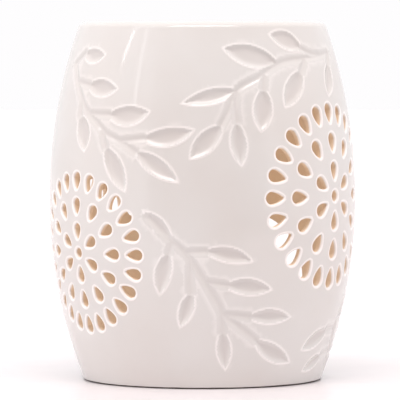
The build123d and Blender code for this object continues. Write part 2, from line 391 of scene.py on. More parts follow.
def smooth_path(points, per_span=5):
    """A Catmull-Rom curve through the points: each span is a cubic whose end slopes are half the
    differences between the neighbours on either side."""
    p = np.array(points, float)
    p = np.vstack([2 * p[0] - p[1], p, 2 * p[-1] - p[-2]])
    t = np.linspace(0, 1, per_span, endpoint=False)[:, None]
    spans = []
    for a, b, c, d in zip(p[:-3], p[1:-2], p[2:-1], p[3:]):
        bend = (2 * a - 5 * b + 4 * c - d) * t ** 2 + (3 * b - a - 3 * c + d) * t ** 3
        spans.append(0.5 * (2 * b + (c - a) * t + bend))
    return np.vstack(spans + [p[-2:-1]])


def stem_distance(s, z, stem):
    """Distance to a stem's middle line: the least distance to the short straight runs of its curve."""
    path = smooth_path(stem) * (DEG * belly_radius, MM)
    best = np.full(np.shape(s), np.inf)
    for (s1, z1), (s2, z2) in zip(path[:-1], path[1:]):
        dx, dy = flat_about(np.array(s2), z2, s1, z1)
        x, y = flat_about(s, z, s1, z1)
        t = np.clip((x * dx + y * dy) / (dx * dx + dy * dy), 0, 1)
        best = np.minimum(best, np.hypot(x - t * dx, y - t * dy))
    return best


def hole_distance(s, z):
    """Distance to the edge of the nearest hole, negative inside, or far_away where none is near."""
    best = np.full(np.shape(s), far_away)
    reach = 6 * MM
    for hole in holes:
        near = np.flatnonzero((np.abs(around(s - hole[2])) < reach) & (np.abs(z - hole[3]) < reach))
        edge_s, edge_z = hole_on_wall(hole, 0)
        past_s, past_z = hole_on_wall(hole, MM)
        ds = around(s[near, None] - edge_s[None])
        dz = z[near, None] - edge_z[None]
        nearest = np.argmin(np.hypot(ds, dz), axis=1)
        row = np.arange(len(near))
        ds, dz = ds[row, nearest], dz[row, nearest]
        out = ds * (past_s - edge_s)[nearest] + dz * (past_z - edge_z)[nearest]
        best[near] = np.minimum(best[near], np.sign(out) * np.hypot(ds, dz))
    return best


# %% [markdown]
# ## Pressing the clay
#
# A pocket falls steeply at its edge and flattens towards its middle, as a rounded stamp leaves it. The
# ridge is a thin bell curve just outside it, and the stem is a bell curve across its line. The slow
# waves come from wiping the raw clay with a sponge and from the glaze's uneven thickness. They make a
# reflection wander a little.

# %% The relief function


def pocket_depth(d):
    """How deep a leaf's pocket is at distance d from its edge: 1 - exp(-(x / slope) to the power 1.3).

    x is the distance inside the edge, made smooth at zero: half of (x + root of x squared + soft squared).
    """
    x = leaf_rim - d
    inside = (x + np.sqrt(x ** 2 + leaf_soft ** 2)) / 2
    return leaf_depth * (1 - np.exp(-(inside / leaf_slope) ** 1.3))


def near_leaves(s, z, reach):
    """For each leaf, which places lie within reach of it, and their distances to its edge."""
    for leaf in leaves:
        room = leaf[3] * leaf_length * 0.65 + reach
        beside = np.abs(around(s - leaf[0] * DEG * belly_radius)) < room
        near = np.flatnonzero(beside & (np.abs(z - leaf[1] * height) < room))
        yield near, leaf_distance(s[near], z[near], leaf)


def near_stems(s, z, reach):
    """For each stem, which places lie within reach of it, and their distances to its middle line."""
    for stem in stems:
        azimuth, up = np.array(stem, float).T * [[DEG * belly_radius], [MM]]
        middle = (azimuth.min() + azimuth.max()) / 2
        beside = np.abs(around(s - middle)) < np.ptp(azimuth) / 2 + reach
        near = np.flatnonzero(beside & (z > up.min() - reach) & (z < up.max() + reach))
        yield near, stem_distance(s[near], z[near], stem)


def feature_distance(s, z):
    """Distance to the nearest leaf edge or stem side, negative inside."""
    best = np.full(np.shape(s), far_away)
    reach = 4 * MM
    for near, d in near_leaves(s, z, reach):
        best[near] = np.minimum(best[near], d)
    for near, d in near_stems(s, z, reach):
        best[near] = np.minimum(best[near], d - stem_half_width)
    return best


def waves(s, z):
    """Slow unevenness of the wall, about 0.06 mm at most: three sine waves that close round the barrel."""
    turn = s / belly_radius
    wave = np.sin(3 * turn + 40 * z)
    wave = wave + 0.7 * np.sin(5 * turn - 90 * z + 1.3) + 0.5 * np.sin(11 * turn + 170 * z + 0.4)
    return wave_depth * (2.2 + wave)


def relief(s, z):
    """How deep each place is pressed in, and a share: 1 at a leaf's full depth, down to -1 on a ridge."""
    pocket, groove, ridge = (np.zeros(np.shape(s)) for _ in range(3))
    for near, d in near_leaves(s, z, press_reach):
        pocket[near] = np.maximum(pocket[near], pocket_depth(d))
        past = (d - leaf_ridge_out) / ridge_width
        ridge[near] = np.maximum(ridge[near], np.exp(-past ** 2))
    for near, d in near_stems(s, z, press_reach):
        groove[near] = np.maximum(groove[near], stem_depth * np.exp(-(d / stem_half_width) ** 2))
        past = (d - stem_ridge_out) / ridge_width
        ridge[near] = np.maximum(ridge[near], stem_ridge_share * np.exp(-past ** 2))
    pressed = (pocket ** 4 + groove ** 4) ** 0.25
    ridge *= 1 - smoothstep(pressed / (0.3 * stem_depth))
    clear = np.ones(np.shape(s))
    touched = np.flatnonzero(pressed + ridge * ridge_height > 0.002 * MM)
    clear[touched] = smoothstep((hole_distance(s[touched], z[touched]) - hole_margin) / hole_fade)
    depth = clear * (pressed - ridge * ridge_height) + waves(s, z)
    share = clear * np.where(pressed > ridge * ridge_height, pressed / leaf_depth, -ridge)
    return np.maximum(depth, outline(z)[0] - belly_radius), share


sample = np.linspace(0, girth, 2000)
deepest = relief(sample, np.full(len(sample), 110 * MM))[0].max()
print(f"deepest of a ring at 110 mm: {deepest / MM:.2f} mm")

# %% [markdown]
# ## A shell that grows ring by ring
#
# Every piece here is a closed surface made of rings of points. Blender's own tools could spin or
# bevel each one, but a plain list of points and triangles lets holes, rims and walls share their
# points exactly, so there is nothing to weld and no seam can open.

# %% The shell helper


class Shell:
    """Points and triangles of one piece, with a few values at each point, which are 0 unless given."""

    def __init__(self, *keys):
        self.keys, self.count = keys, 0
        self.points, self.faces, self.values, self.normals = [], [], [], []

    def add(self, points, normals=None, **values):
        """Adds points and returns their numbers. A value is one number or one for each point."""
        points = np.asarray(points, float).reshape(-1, 3)
        ids = np.arange(self.count, self.count + len(points))
        self.count += len(points)
        self.points.append(points)
        self.normals.append(np.zeros_like(points) if normals is None else normals)
        self.values.append([np.broadcast_to(values.get(k, 0), len(points)) for k in self.keys])
        return ids

    def strips(self, *rings):
        """Bands between closed rings, facing outwards where each ring is above the next."""
        for upper, lower in zip(rings[:-1], rings[1:]):
            a, b = (np.append(r, r[:1]) for r in (upper, lower))
            self.faces.append(joined(a[:-1], b[:-1], b[1:]))
            self.faces.append(joined(a[:-1], b[1:], a[1:]))

    def fan(self, ring, centre, up=True, **values):
        """Closes a ring with triangles to one middle point."""
        middle = self.add([centre], **values)
        following = np.roll(ring, -1)
        self.faces.append(joined(middle, *((ring, following) if up else (following, ring))))


def rounded(corners, radii, step):
    """A path of straight runs with an arc at each inner corner. Radii and step are in millimetres.

    An arc of radius r touches both runs at r / tan(half the angle between them) from the corner.
    """
    corners = np.array(corners, float)
    path = [corners[:1]]
    lengths = np.multiply(radii, MM)
    for before, corner, after, radius in zip(corners[:-2], corners[1:-1], corners[2:], lengths):
        one = (before - corner) / np.linalg.norm(before - corner)
        two = (after - corner) / np.linalg.norm(after - corner)
        half = math.acos(np.clip(one @ two, -1, 1)) / 2
        touch = radius / math.tan(half)
        middle = corner + (one + two) / np.linalg.norm(one + two) * radius / math.sin(half)
        first, last = corner + one * touch - middle, corner + two * touch - middle
        sweep = math.pi - 2 * half
        count = max(2, int(round(radius * sweep / (step * MM))))
        t = np.linspace(0, 1, count + 1)[:, None]
        path.append(middle + (np.sin((1 - t) * sweep) * first + np.sin(t * sweep) * last) / math.sin(sweep))
    path.append(corners[-1:])
    return np.vstack(path)


# %% [markdown]
# ## Triangles between the holes
#
# A pierced wall can't be a plain grid: the grid would cut the holes' edges into steps. A boolean
# would leave long slivers that spoil the shading of a glossy glaze. So the wall is unrolled flat,
# covered with an even scatter of points, finer beside the leaves, and a constrained Delaunay
# triangulation joins them along the exact edges of the holes.

# %% Triangulate the unrolled wall


def inside_loop(points, loop):
    """Whether each point is inside a closed loop: a level ray from it crosses an odd number of edges."""
    x, y = points[:, :1], points[:, 1:]
    x1, y1 = loop.T
    x2, y2 = np.roll(loop, -1, axis=0).T
    rise = np.where(y2 == y1, 1e-12, y2 - y1)
    crosses = ((y1 > y) != (y2 > y)) & (x < x1 + (y - y1) * (x2 - x1) / rise)
    return crosses.sum(axis=1) % 2 == 1


def fill_wall(shell, low, high, seam, loops, scatter, outward):
    """Fills the unrolled wall between two rings, around the loops, with triangles.

    The rings, the seam, each loop and the scatter are pairs of flat places and point numbers. The rings
    run once round the barrel and end on their first point, and the seam's points serve both sides.
    """
    (low_at, low_ids), (high_at, high_ids), (seam_at, seam_ids) = low, high, seam
    parts = [low_at, high_at, seam_at, seam_at + (girth, 0)] + [at for at, _ in loops] + [scatter[0]]
    ids = np.concatenate([low_ids, high_ids, seam_ids, seam_ids] + [i for _, i in loops] + [scatter[1]])
    starts = np.cumsum([0] + [len(p) for p in parts])
    flat = np.vstack(parts) / MM
    numbers = [np.arange(a, b) for a, b in zip(starts[:-1], starts[1:])]
    loop_numbers = numbers[4:-1]
    chains = numbers[:2]
    for end, side in ((0, numbers[2]), (-1, numbers[3])):
        chains.append(np.array([numbers[0][end], *side, numbers[1][end]]))
    chains += [np.append(n, n[:1]) for n in loop_numbers]
    edges = np.vstack([joined(c[:-1], c[1:]) for c in chains])
    made = geometry.delaunay_2d_cdt([Vector(p) for p in flat.tolist()], edges.tolist(), [], 0, 1e-6, True)
    source = np.array([max(v) if v else -1 for v in made[3]])
    triangles = source[np.array(made[2])]
    if (source < 0).any():
        raise ValueError("the outline of a hole crosses another outline")
    owner = np.full(len(flat), -1)
    for i, n in enumerate(loop_numbers):
        owner[n] = i
    keep = np.ones(len(triangles), bool)
    for i, n in enumerate(loop_numbers):
        own = np.flatnonzero((owner[triangles] == i).all(axis=1))
        keep[own[inside_loop(flat[triangles[own]].mean(axis=1), flat[n])]] = False
    triangles = triangles[keep]
    a, b, c = (flat[triangles[:, i]] for i in range(3))
    area = (b[:, 0] - a[:, 0]) * (c[:, 1] - a[:, 1]) - (b[:, 1] - a[:, 1]) * (c[:, 0] - a[:, 0])
    real = np.abs(area) > 1e-7
    triangles, turned_over = triangles[real], (area[real] < 0) == outward
    triangles[turned_over] = triangles[turned_over][:, ::-1]
    shell.faces.append(ids[triangles])


def scatter_points(step, low, high):
    """Rows of points in a triangular pattern over the unrolled wall, between two heights."""
    columns = int(round(girth / step))
    rows = np.arange(low, high, step * math.sqrt(3) / 2)
    s = (np.arange(columns)[None] + 0.5 * (np.arange(len(rows))[:, None] % 2)) * girth / columns
    return s.ravel(), np.repeat(rows, columns)


# %% [markdown]
# ## The door behind
#
# The door is an arch on straight sides, cut level with the floor, and it goes straight back along Y.
# Its outline is worked out once, flat, and then laid on the outer and the inner surface.

# %% The door's outline
floor_height = 6.0 * MM
floor_corner = 4.0 * MM
door_half_width = 23.5 * MM
door_spring = 30.3 * MM
inner_arc = lower_arc - wall
inner_reach = math.sqrt(inner_arc ** 2 - (floor_height - belly_height) ** 2)
corner_sweep = math.pi / 2 - math.asin((belly_height - floor_height) / inner_arc)
floor_radius = belly_radius - lower_arc + inner_reach - floor_corner * math.tan(corner_sweep / 2)
corner_top = floor_height + floor_corner * (1 - math.cos(corner_sweep))
wall_start = corner_top - wall * (belly_height - corner_top) / inner_arc
floor_start = wall_start - floor_corner * corner_sweep
seam = 130 * DEG * belly_radius

sill_turn = math.asin(door_half_width / floor_radius)
sill_steps = 24
side_steps = 12
arch_steps = 48


def door_outline(grow):
    """Place across and height of the door's edge, grown outwards, seen from behind the barrel.

    It runs up the right side, over the arch, down the left side and back along the sill.
    """
    half = door_half_width + grow
    side = joined(half, np.linspace(floor_height - grow, door_spring, side_steps, endpoint=False))
    arch = half * unit(np.linspace(0, math.pi, arch_steps + 1)) + (0, door_spring)
    swing = np.linspace(-sill_turn, sill_turn, sill_steps + 1)[1:-1]
    sill = joined(half * np.sin(swing) / math.sin(sill_turn), floor_height - grow)
    return np.vstack([side, arch, side[::-1] * (-1, 1), sill])


def behind(across, radius):
    """Arc at which a circle is that far across: the angle from +Y has the sine across / radius."""
    return (math.pi + np.arcsin(across / radius)) * belly_radius


def inner_place(t):
    """Radius and height of the inner surface: the wall inset along its normal, then the floor's corner."""
    theta = np.clip((t - floor_start) / floor_corner, 0, corner_sweep)
    radius, sine, cosine = outline(t)
    in_wall = t >= wall_start
    r = np.where(in_wall, radius - wall * cosine, floor_radius + floor_corner * np.sin(theta))
    z = np.where(in_wall, t - wall * sine, floor_height + floor_corner * (1 - np.cos(theta)))
    return r, z


def inner_height(z):
    """The t at which the inner surface is at height z, read off a fine table of the same formula."""
    t = np.linspace(floor_start, height, 4000)
    return np.interp(z, inner_place(t)[1], t)


print(f"floor radius {floor_radius / MM:.2f}, corner ends at {corner_top / MM:.2f}")
print(f"the sill spans {2 * sill_turn / DEG:.0f} degrees")

# %% [markdown]
# ## Putting the barrel together
#
# Glaze is thick at an edge: it rounds every hole's lip over about half a millimetre, and then the
# bare channel goes straight in. So each hole is a few rings: lips that bend over, the channel, and
# the inner edge. The outer and inner walls are then filled between these rings.
#
# Each point carries how deep it lies in millimetres (bare surfaces inside count as deeper still),
# how far it is pressed, and whether it is on a lip. The glaze's colour is worked out from these, with a
# painted highlight on the lips and ridges and painted shade in the pressed leaves.

# %% Line the holes
# a lip's rings: how far outside the hole's edge and how deep, in millimetres
lip = ((1.05, 0.0), (0.62, 0.0), (0.36, 0.05), (0.16, 0.17), (0.04, 0.36), (0.0, 0.65))
lip_reach = lip[0][0] * MM
inner_edge = (0.12 * MM, 0.25 * MM)
inside_depth = 3.0
under_depth = 1.0
ring_steps = 240
fine_step = 0.62 * MM
coarse_step = 1.7 * MM
inner_step = 2.3 * MM
slope_step = 0.12 * MM
seam_step = 0.8 * MM
fine_reach, coarse_reach = 1.5 * MM, 2.0 * MM

# the edge value marks the lips round the holes and the door, where the glaze is painted whiter as a
# highlight
barrel = Shell("depth", "press", "edge")


def wall_normals(s, z):
    """Outward normals of the finished outside: the cross product of its slopes along arc and height."""
    ends = []
    for ds, dz in ((slope_step, 0), (-slope_step, 0), (0, slope_step), (0, -slope_step)):
        ends.append(wall_point(s + ds, z + dz, relief(s + ds, z + dz)[0]))
    out = np.cross(ends[0] - ends[1], ends[2] - ends[3])
    return out / np.linalg.norm(out, axis=1, keepdims=True)


def add_outside(s, z, edge=0):
    """Adds places of the outside to the barrel, with their true normals, and returns their numbers."""
    depth, press = relief(s, z)
    return barrel.add(wall_point(s, z, depth), wall_normals(s, z), press=press, edge=edge)


flat_lips = [grow for grow, depth in lip if depth == 0]
bent_lips = [(grow, depth) for grow, depth in lip if depth > 0]
places = [joined(*hole_on_wall(hole, grow * MM)) for hole in holes for grow in flat_lips]
# lip rings inside the outermost one are flagged as edges, for the painted highlight
edges = [np.full(len(p), grow < lip[0][0]) for p, grow in zip(places, flat_lips * len(holes))]
flat_ids = add_outside(*np.vstack(places).T, np.concatenate(edges))
flat_rings = np.split(flat_ids, np.cumsum([len(p) for p in places])[:-1])
outer_loops, inner_loops = [], []
for i, hole in enumerate(holes):
    first = i * len(flat_lips)
    rings = flat_rings[first:first + len(flat_lips)]
    shift = (hole[2] - seam) // girth * -girth
    outer_loops.append((places[first] + (shift, 0), rings[0]))
    for grow, depth in bent_lips:
        s, z = hole_on_wall(hole, grow * MM, depth * MM)
        rings.append(barrel.add(wall_point(s, z, waves(s, z) + depth * MM), depth=depth, edge=1))
    s, z = hole_on_wall(hole, 0, wall)
    rings.append(barrel.add(wall_point(s, z, wall - inner_edge[1]), depth=wall / MM))
    s, z = hole_on_wall(hole, inner_edge[0], wall)
    rings.append(barrel.add(wall_point(s, z, wall), depth=inside_depth))
    inner_loops.append((joined(s + shift, z), rings[-1]))
    barrel.strips(*rings[::-1])
print(f"{len(outer_loops)} holes lined, {barrel.count} points")

# %% [markdown]
# ## The door's tunnel
#
# The door is lined as a hole is, with the same lips. Its arch is cut straight through along Y, so its
# rings are pushed straight in, and the last one lies where the cut meets the inner wall.

# %% Line the door
rings = []
for grow, push in lip:
    across, z = door_outline(grow * MM).T
    s = behind(across, outline(z)[0])
    # the door's lips are flagged as edges too, for the same painted highlight
    if push == 0:
        rings.append(add_outside(s, z, grow < lip[0][0]))
    else:
        spot = wall_point(s, z, waves(s, z)) - (0, push * MM, 0)
        rings.append(barrel.add(spot, depth=push, edge=1))
    if grow == lip[0][0]:
        door_outside = (joined(s, z), rings[0])
across, z = door_outline(0).T
t = inner_height(z)
radius = inner_place(t)[0]
spot = joined(-across, np.sqrt(radius ** 2 - across ** 2), z)
rings.append(barrel.add(spot + (0, inner_edge[1], 0), depth=wall / MM))
inner_door_ring = barrel.add(spot, depth=inside_depth)
door_inside = (joined(behind(across, radius), t), inner_door_ring)
barrel.strips(inner_door_ring, *rings[::-1])
print(f"door {2 * door_half_width / MM:.0f} wide, {(door_spring + door_half_width) / MM:.1f} high")

# %% [markdown]
# ## Rim, seat and foot
#
# The rest is turned: the path goes up from the inner wall, under and over the dish's seat, across
# the rim, and down to the outer wall, and another goes in under the foot. Their ends are the rings
# that the walls are filled to, so rim and wall share their points.

# %% The turned parts
seat_height = height - 3.4 * MM
seat_thickness = 2.2 * MM
rim_inner_radius = shoulder_radius - 4.6 * MM
seat_inner_radius = rim_inner_radius - 3.8 * MM
foot_ring_width = 3.6 * MM
foot_ring_height = 1.8 * MM
# the edges' roundings in millimetres, in the order of the path
rim_rounds = (1.0, 0.4, 0.4, 0.4, 0.9, 3.4)
foot_rounds = (1.0, 0.5, 0.5)
azimuths = seam / belly_radius + np.arange(ring_steps) * 2 * math.pi / ring_steps
arcs = azimuths * belly_radius


def wall_direction(z):
    """Unit direction down the outline at height z, as radius and height."""
    _, sine, cosine = outline(np.array(z))
    return np.array([sine, -cosine])


def chain(ring, arcs, z):
    """A ring as flat places and point numbers, from the seam round to its first point again."""
    return joined(np.append(arcs, arcs[0] + girth), z), np.append(ring, ring[0])


underside = seat_height - seat_thickness
underside_radius = inner_place(inner_height(underside))[0]
foot_inner_radius = foot_radius - foot_ring_width
rim_path = rounded([
    (underside_radius, underside) + wall_direction(underside) * 3 * MM,
    (underside_radius, underside), (seat_inner_radius, underside), (seat_inner_radius, seat_height),
    (rim_inner_radius, seat_height), (rim_inner_radius, height), (shoulder_radius, height),
    (shoulder_radius, height) + wall_direction(height) * 6 * MM,
], rim_rounds, 0.45)[1:-1]
foot_path = rounded([
    (foot_radius, 0) - wall_direction(0) * 4 * MM, (foot_radius, 0), (foot_inner_radius, 0),
    (foot_inner_radius, foot_ring_height), (0, foot_ring_height),
], foot_rounds, 0.3)[1:-1]
wall_top, wall_bottom = rim_path[-1, 1], foot_path[0, 1]
inner_top = inner_height(rim_path[0, 1])
rim_rings, foot_rings = [], []
for r, z in rim_path[1:-1]:
    glazed = z > seat_height - 0.1 * MM
    rim_rings.append(barrel.add(on_circle(r, azimuths, z), depth=0 if glazed else inside_depth))
for i, (r, z) in enumerate(foot_path[1:]):
    foot_rings.append(barrel.add(on_circle(r, azimuths, z), depth=min(0.2 * i, under_depth)))

outer_top = add_outside(arcs, np.full(ring_steps, wall_top))
outer_bottom = add_outside(arcs, np.full(ring_steps, wall_bottom))
r, z = inner_place(inner_top)
inner_top_ring = barrel.add(on_circle(r, azimuths, z), depth=inside_depth)
barrel.strips(inner_top_ring, *rim_rings, outer_top)
barrel.strips(outer_bottom, *foot_rings)
barrel.fan(foot_rings[-1], (0, 0, foot_ring_height), up=False, depth=under_depth)
print(f"{len(rim_rings)} rings in the rim and {len(foot_rings)} under the foot")
print(f"wall from {wall_bottom / MM:.2f} to {wall_top / MM:.2f}")

# %% [markdown]
# ## Filling the outer wall
#
# Near a leaf the scatter is nearly three times finer than on the plain wall, so its slopes stay smooth
# without spending triangles where nothing happens. Both scatters keep clear of the holes' outer rings,
# of the door and of the seam, whose own points close the wall there.

# %% Fill the outer wall


def off_loop(s, z, loop, gap):
    """Whether places are outside a loop and at least gap from its points."""
    flat = joined(s, z)
    room = np.ptp(loop, axis=0) / 2 + 2 * gap
    near = np.flatnonzero((np.abs(flat - loop.mean(axis=0)) < room).all(axis=1))
    keep = np.ones(len(s), bool)
    closest = np.full(len(near), np.inf)
    for point in loop:
        closest = np.minimum(closest, np.hypot(*(flat[near] - point).T))
    keep[near] = (closest > gap) & ~inside_loop(flat[near], loop)
    return keep


def wall_scatter(step, low, high, door, hole_gap):
    """Scattered places of the unrolled wall, clear of its edges, the seam, the holes and the door.

    The clearances are shares of the step, so that no sliver forms beside an edge.
    """
    s, z = scatter_points(step, low + step / 2, high - step / 3)
    s = s + seam
    keep = (s > seam + 0.6 * step) & (s < seam + girth - 0.6 * step)
    keep &= hole_distance(s, z) > hole_gap + 0.45 * step
    s, z = s[keep], z[keep]
    keep = off_loop(s, z, door, max(0.7 * step, 1.2 * MM))
    return s[keep], z[keep]


def added(add, s, z):
    """Flat places, and the numbers of the points that a function adds there."""
    return joined(s, z), add(s, z)


fine_s, fine_z = wall_scatter(fine_step, wall_bottom, wall_top, door_outside[0], lip_reach)
fine = feature_distance(fine_s, fine_z) < fine_reach
coarse_s, coarse_z = wall_scatter(coarse_step, wall_bottom, wall_top, door_outside[0], lip_reach)
coarse = feature_distance(coarse_s, coarse_z) > coarse_reach
s = np.concatenate([fine_s[fine], coarse_s[coarse]])
z = np.concatenate([fine_z[fine], coarse_z[coarse]])
seam_z = np.arange(wall_bottom + seam_step, wall_top - seam_step / 2, seam_step)
fill_wall(
    barrel, chain(outer_bottom, arcs, wall_bottom), chain(outer_top, arcs, wall_top),
    added(add_outside, np.full(len(seam_z), seam), seam_z),
    outer_loops + [door_outside], added(add_outside, s, z), outward=True,
)
print(f"outside: {len(s)} scattered points, {fine.sum()} of them by the leaves")

# %% [markdown]
# ## The inner wall and the floor
#
# The inner wall is never seen closely, so its scatter is coarse. The floor's ring takes in the inner
# edge of the door's sill, so that wall, door and floor share their points, and the floor is one fan.

# %% Fill the inner wall and lay the floor
swing = np.linspace(-sill_turn, sill_turn, sill_steps + 1)
before = np.linspace(seam / belly_radius, math.pi - sill_turn, 5)[:-1]
after = np.linspace(math.pi + sill_turn, seam / belly_radius + 2 * math.pi, ring_steps // 2 + 1)[1:-1]
floor_azimuths = np.concatenate([before, math.pi + swing, after])
sill_start = 2 * side_steps + arch_steps
floor_ring = np.concatenate([
    barrel.add(on_circle(floor_radius, before, floor_height), depth=inside_depth),
    inner_door_ring[sill_start:], inner_door_ring[:1],
    barrel.add(on_circle(floor_radius, after, floor_height), depth=inside_depth),
])


def add_inside(s, t):
    """Adds places of the inner surface to the barrel and returns their numbers."""
    r, z = inner_place(t)
    return barrel.add(on_circle(r, s / belly_radius, z), depth=inside_depth)


s, t = wall_scatter(inner_step, floor_start, inner_top, door_inside[0], inner_edge[0])
seam_t = np.arange(floor_start + inner_step / 2, inner_top - inner_step / 3, inner_step)
fill_wall(
    barrel, chain(floor_ring, floor_azimuths * belly_radius, floor_start),
    chain(inner_top_ring, arcs, inner_top), added(add_inside, np.full(len(seam_t), seam), seam_t),
    inner_loops + [door_inside], added(add_inside, s, t), outward=False,
)
barrel.fan(floor_ring, (0, 0, floor_height), depth=inside_depth)
print(f"inside: {len(s)} scattered points; the barrel has {barrel.count} points")

# %% [markdown]
# ## From arrays to a Blender mesh
#
# foreach_set copies whole arrays into the mesh at once. The barrel's own normals come from the
# relief's formula, so reflections follow the true surface and not the triangles.

# %% Make the mesh


def finish_piece(name, shell, material, body, node):
    """Turns a shell into an object that stands for a CAD node, rides on its body and has its finish."""
    points, faces, normals = (np.vstack(part) for part in (shell.points, shell.faces, shell.normals))
    mesh = bpy.data.meshes.new(name)
    mesh.vertices.add(len(points))
    mesh.vertices.foreach_set("co", points.astype(np.float32).ravel())
    mesh.loops.add(faces.size)
    mesh.loops.foreach_set("vertex_index", faces.astype(np.int32).ravel())
    mesh.polygons.add(len(faces))
    mesh.polygons.foreach_set("loop_start", np.arange(0, faces.size, 3, dtype=np.int32))
    mesh.update(calc_edges=True)
    mesh.polygons.foreach_set("use_smooth", np.ones(len(faces), bool))
    for key, values in zip(shell.keys, zip(*shell.values)):
        attribute = mesh.attributes.new(key, "FLOAT", "POINT")
        attribute.data.foreach_set("value", np.concatenate(values).astype(np.float32))
    if normals.any():
        mesh.normals_split_custom_set_from_vertices(normals.tolist())
    mesh.materials.append(material)
    piece = bpy.data.objects.new(name, mesh)
    bpy.context.scene.collection.objects.link(piece)
    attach(piece, body)
    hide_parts(node)
    print(f"{name}: {len(points)} points, {len(faces)} triangles")


def turned(path, count, ripple=None, hollow=False):
    """A shell of revolution of (radius, height) places that run out over the top and back in below.

    A ripple is a function of azimuth and place along the path that gives a length to add to the radius.
    """
    shell = Shell()
    turn = np.arange(count) * 2 * math.pi / count
    rings = []
    for r, z in path[path[:, 0] > 0]:
        extra = 0 if ripple is None else ripple(turn, r, z)
        rings.append(shell.add(on_circle(r + extra, turn, z)))
    shell.strips(*rings)
    if hollow:
        shell.strips(rings[-1], rings[0])
    if path[0, 0] <= 0:
        shell.fan(rings[0], (0, 0, path[0, 1]))
    if path[-1, 0] <= 0:
        shell.fan(rings[-1], (0, 0, path[-1, 1]), up=False)
    return shell


# %% [markdown]
# ## Materials: how the node helpers work
#
# Each material is a small graph. These helpers add a node, set its sockets, and join it to others, so
# a material reads as a list of what it does.

# %% Node helpers


def add_node(tree, kind, inputs=None, **settings):
    """Adds a node, sets its properties, and feeds its inputs with values or with other nodes' outputs."""
    made = tree.nodes.new(kind)
    for key, value in settings.items():
        setattr(made, key, value)
    for key, value in (inputs or {}).items():
        if isinstance(value, bpy.types.NodeSocket):
            tree.links.new(value, made.inputs[key])
        else:
            made.inputs[key].default_value = value
    return made


def shades(tree, factor, stops):
    """A colour ramp through (place, colour) stops."""
    ramp = add_node(tree, "ShaderNodeValToRGB", {"Fac": factor})
    elements = ramp.color_ramp.elements
    while len(elements) < len(stops):
        elements.new(0.5)
    for element, (place, colour) in zip(elements, stops):
        element.position = place
        element.color = (*colour, 1)
    return ramp.outputs["Color"]


def math_node(tree, operation, first, *others):
    """An arithmetic step, taken again with each further value."""
    result = first
    for other in others or (0.0,):
        result = add_node(tree, "ShaderNodeMath", {0: result, 1: other}, operation=operation).outputs[0]
    return result


def remap(tree, value, span, to=(0.0, 1.0), smooth=False):
    """A value's span stretched to another, clamped at its ends, along a line or a smooth step."""
    ends = {"Value": value, 1: span[0], 2: span[1], 3: to[0], 4: to[1]}
    kind = "SMOOTHSTEP" if smooth else "LINEAR"
    return add_node(tree, "ShaderNodeMapRange", ends, interpolation_type=kind).outputs[0]


def object_place(tree):
    """A point's place in its piece's own frame."""
    return add_node(tree, "ShaderNodeTexCoord").outputs["Object"]


def noise(tree, place, scale, detail=2.0):
    """Cloudy noise, from 0 to 1, of scale cells to the metre, with detail finer layers added."""
    inputs = {"Vector": place, "Scale": scale, "Detail": detail}
    return add_node(tree, "ShaderNodeTexNoise", inputs).outputs[0]


def blend_colour(tree, factor, first, second, mode="MIX"):
    """Two colours mixed by a factor."""
    mix = add_node(tree, "ShaderNodeMix", data_type="RGBA", blend_type=mode)
    for socket, value in ((mix.inputs["Factor"], factor), (mix.inputs[6], first), (mix.inputs[7], second)):
        if isinstance(value, bpy.types.NodeSocket):
            tree.links.new(value, socket)
        else:
            socket.default_value = value if isinstance(value, (int, float)) else (*value[:3], 1)
    return mix.outputs[2]


def linear(red, green, blue):
    """An 8-bit screen colour as linear light: ((c + 0.055) / 1.055) to the power 2.4."""
    return tuple(((c / 255 + 0.055) / 1.055) ** 2.4 for c in (red, green, blue))


def new_group(name, inputs, outputs):
    """An empty shader group with number sockets in and out, and its two ends."""
    group = bpy.data.node_groups.new(name, "ShaderNodeTree")
    for label, value in inputs.items():
        socket = group.interface.new_socket(label, in_out="INPUT", socket_type="NodeSocketFloat")
        socket.default_value = value
    for label in outputs:
        group.interface.new_socket(label, in_out="OUTPUT", socket_type="NodeSocketFloat")
    return group, group.nodes.new("NodeGroupInput").outputs, group.nodes.new("NodeGroupOutput").inputs


def new_material(name):
    """A material with a Principled shader, and its tree."""
    material = bpy.data.materials.new(name)
    material.use_nodes = True
    return material, material.node_tree, material.node_tree.nodes["Principled BSDF"]


def finish_shader(tree, shader, colour, rough, relief_height, distance, strength=1.0):
    """Joins a colour, a roughness and a bump to a material's shader."""
    inputs = {"Height": relief_height, "Distance": distance, "Strength": strength}
    bump = add_node(tree, "ShaderNodeBump", inputs).outputs[0]
    for value, socket in ((colour, "Base Color"), (rough, "Roughness"), (bump, "Normal")):
        tree.links.new(value, shader.inputs[socket])


def grained_material(name, grain, tones, rough, bump, sockets):
    """A plain surface whose tone, gloss and height follow one noise.

    The grain is the noise's scale and detail, and the bump is its height and strength.
    """
    material, tree, shader = new_material(name)
    grain = noise(tree, object_place(tree), *grain)
    tone = shades(tree, grain, tuple(zip((0.3, 0.7), tones)))
    finish_shader(tree, shader, tone, remap(tree, grain, (0.0, 1.0), rough), grain, *bump)
    for socket, value in sockets.items():
        shader.inputs[socket].default_value = value
    return material


# %% [markdown]
# ## Shared effects: glaze skin and clay grain
#
# A dipped glaze isn't even. It has slow thick and thin areas, a faint ripple, and a few pinholes.
# Bare clay has fine grit and soft mottling. The barrel and the dish share the glaze's skin, so it is a
# node group that gives out masks and a height, and the clay's grain is made in the same way.

# %% Glaze skin and clay grain groups


